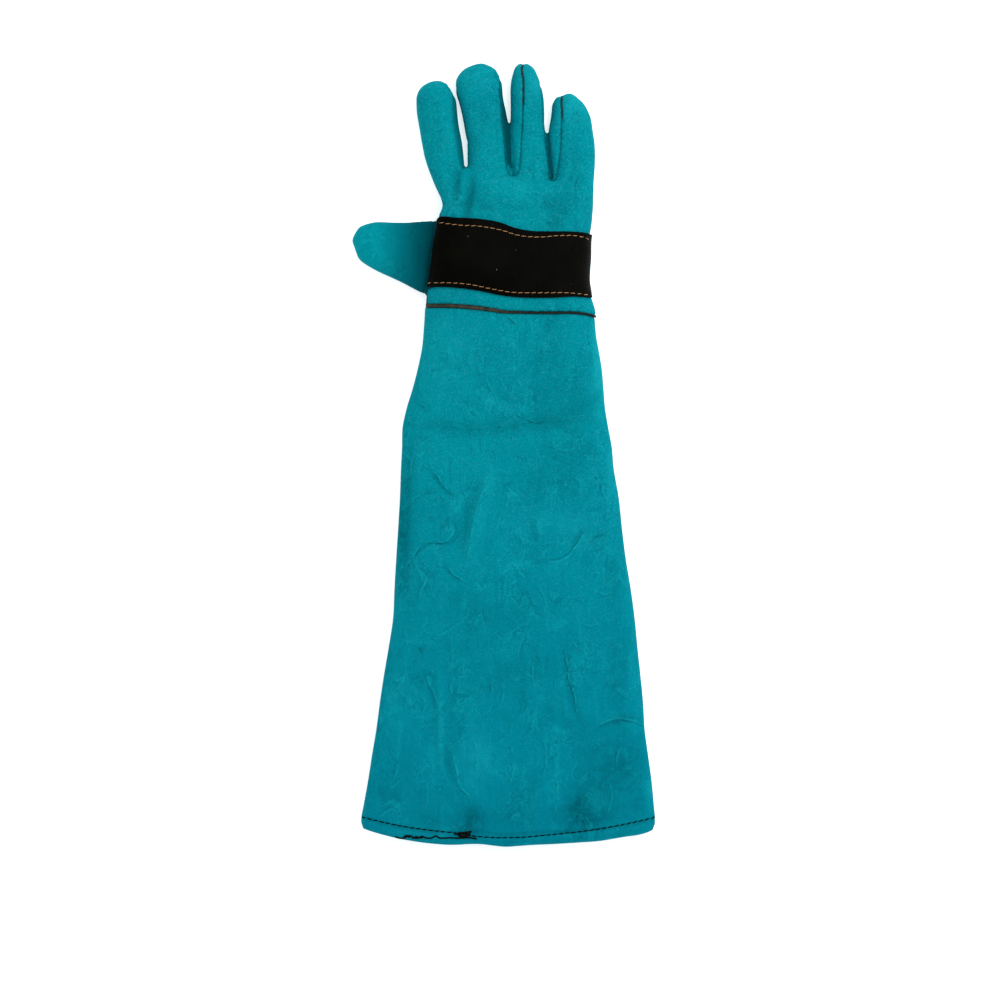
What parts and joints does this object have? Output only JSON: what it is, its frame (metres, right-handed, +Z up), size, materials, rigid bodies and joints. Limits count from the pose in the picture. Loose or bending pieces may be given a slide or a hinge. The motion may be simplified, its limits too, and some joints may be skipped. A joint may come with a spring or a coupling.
{
  "type": "animal handling glove",
  "caption": "Long suede glove for a right hand, with separate fingers and thumb, a smooth leather band across the back of the hand and a wide flared sleeve, lying palm down.",
  "frame": {"origin": "under the middle of the glove's outline, on the surface that it lies on", "axes": "+Y from the hem to the fingertips, +Z up out of the back of the hand, +X towards the little finger"},
  "size_m": [0.1712, 0.445, 0.0297],
  "materials": {
    "blue_green_suede": "matte suede nap",
    "black_leather": "smooth satin",
    "dark_strip": "matte",
    "tan_thread": "waxed thread",
    "dark_thread": "matte thread"
  },
  "bodies": {
    "root": {"back_panel": "blue_green_suede", "palm_panel": "blue_green_suede", "side_strip_index_middle": "blue_green_suede", "side_strip_middle_ring": "blue_green_suede", "side_strip_ring_little": "blue_green_suede", "thumb_back": "blue_green_suede", "thumb_palm": "blue_green_suede", "knuckle_band": "black_leather", "wrist_strip": "dark_strip", "sleeve_back": "blue_green_suede", "sleeve_front": "blue_green_suede"}
  },
  "joints": []
}
